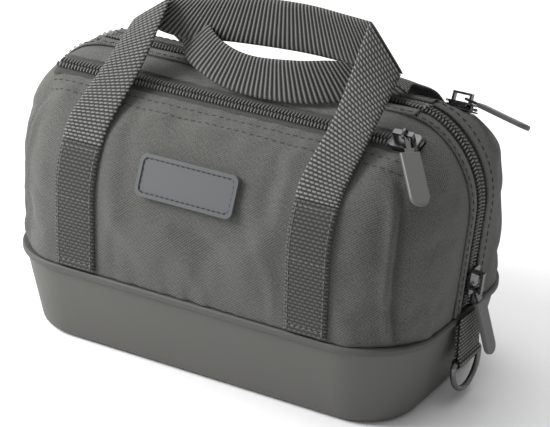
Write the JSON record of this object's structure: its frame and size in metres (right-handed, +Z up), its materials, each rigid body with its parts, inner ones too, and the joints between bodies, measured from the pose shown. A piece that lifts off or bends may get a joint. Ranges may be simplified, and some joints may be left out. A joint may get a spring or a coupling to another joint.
{
  "type": "soft zipped carry case",
  "caption": "Soft padded carry case on a moulded base, with webbing handles, a zip over the top, zipped side pockets, and rings at the ends.",
  "frame": {"origin": "middle of the moulded base's underside, on the ground plane", "axes": "+X along the length towards the end where the sliders park, -Y towards the face with the badge, +Z up"},
  "size_m": [0.2795, 0.1482, 0.2021],
  "materials": {
    "shell": "smooth moulded",
    "board": "smooth",
    "foam": "knitted cover on foam",
    "piping": "smooth",
    "cloth": "dense nylon weave",
    "binding": "folded nylon weave",
    "lining": "plain light weave",
    "tape": "knitted tape",
    "coil": "nylon coil",
    "webbing": "ribbed webbing",
    "badge": "soft moulded",
    "slider": "dark plated",
    "grip": "soft moulded",
    "wire": "grey plated"
  },
  "bodies": {
    "bag": {"base_tray": "shell", "base_board": "board", "floor_pad": "foam", "seam_piping": "piping", "ring_tab_right": "webbing", "ring_tab_left": "webbing", "front_panel": "cloth", "front_gusset": "cloth", "front_binding": "binding", "front_pocket_wall": "lining", "front_zip_tape": "tape", "front_zip_coil": "coil", "front_strap_left": "webbing", "front_strap_right": "webbing", "badge": "badge", "main_tape_front": "tape", "main_coil_front": "coil", "main_tape_foot": "tape", "main_coil_foot": "coil"},
    "back_half": {"back_panel": "cloth", "back_gusset": "cloth", "back_binding": "binding", "back_pocket_wall": "lining", "back_zip_tape": "tape", "back_zip_coil": "coil", "back_strap_left": "webbing", "back_strap_right": "webbing", "main_tape_back": "tape", "main_coil_back": "coil"},
    "front_handle": {"front_handle": "webbing"},
    "back_handle": {"back_handle": "webbing"},
    "front_slider": {"front_slider": "slider"},
    "front_pull": {"front_pull_link": "slider", "front_pull_grip": "grip"},
    "back_slider": {"back_slider": "slider"},
    "back_pull": {"back_pull_link": "slider", "back_pull_grip": "grip"},
    "main_slider": {"main_slider": "slider"},
    "main_pull": {"main_pull_link": "slider", "main_pull_grip": "grip"},
    "ring_right": {"d_ring_right": "wire"},
    "ring_left": {"d_ring_left": "wire"}
  },
  "joints": [
    {"name": "back_half_fold", "type": "hinge", "parent": "bag", "child": "back_half", "pos_m": [0, 0.072, 0.05], "axis": [-1, 0, 0], "range_deg": [0, 25]},
    {"name": "front_handle_swing", "type": "hinge", "parent": "bag", "child": "front_handle", "pos_m": [0, -0.06458, 0.12304], "axis": [1, 0, 0], "range_deg": [0, 140]},
    {"name": "back_handle_swing", "type": "hinge", "parent": "back_half", "child": "back_handle", "pos_m": [0, 0.06458, 0.12304], "axis": [-1, 0, 0], "range_deg": [0, 140]},
    {"name": "front_zip_run", "type": "slide", "parent": "bag", "child": "front_slider", "axis": [-1, 0, 0], "range_m": [0, 0.006]},
    {"name": "back_zip_run", "type": "slide", "parent": "back_half", "child": "back_slider", "axis": [-1, 0, 0], "range_m": [0, 0.003]},
    {"name": "main_zip_run", "type": "slide", "parent": "bag", "child": "main_slider", "axis": [0.0872, 0, 0.9962], "range_m": [0, 0.028]},
    {"name": "front_pull_swing", "type": "hinge", "parent": "front_slider", "child": "front_pull", "pos_m": [0.104, -0.03427, 0.15619], "axis": [-1, 0, 0], "range_deg": [0, 100]},
    {"name": "back_pull_swing", "type": "hinge", "parent": "back_slider", "child": "back_pull", "pos_m": [0.1062, 0.03311, 0.15369], "axis": [0, -0.9063, 0.4226], "range_deg": [0, 110]},
    {"name": "main_pull_swing", "type": "hinge", "parent": "main_slider", "child": "main_pull", "pos_m": [0.13336, 0, 0.06538], "axis": [0, -1, 0], "range_deg": [-15, 95]},
    {"name": "ring_right_swing", "type": "hinge", "parent": "bag", "child": "ring_right", "pos_m": [0.1302, 0, 0.024], "axis": [0, -1, 0], "range_deg": [-10, 100]},
    {"name": "ring_left_swing", "type": "hinge", "parent": "bag", "child": "ring_left", "pos_m": [-0.1302, 0, 0.024], "axis": [0, 1, 0], "range_deg": [-10, 100]}
  ]
}
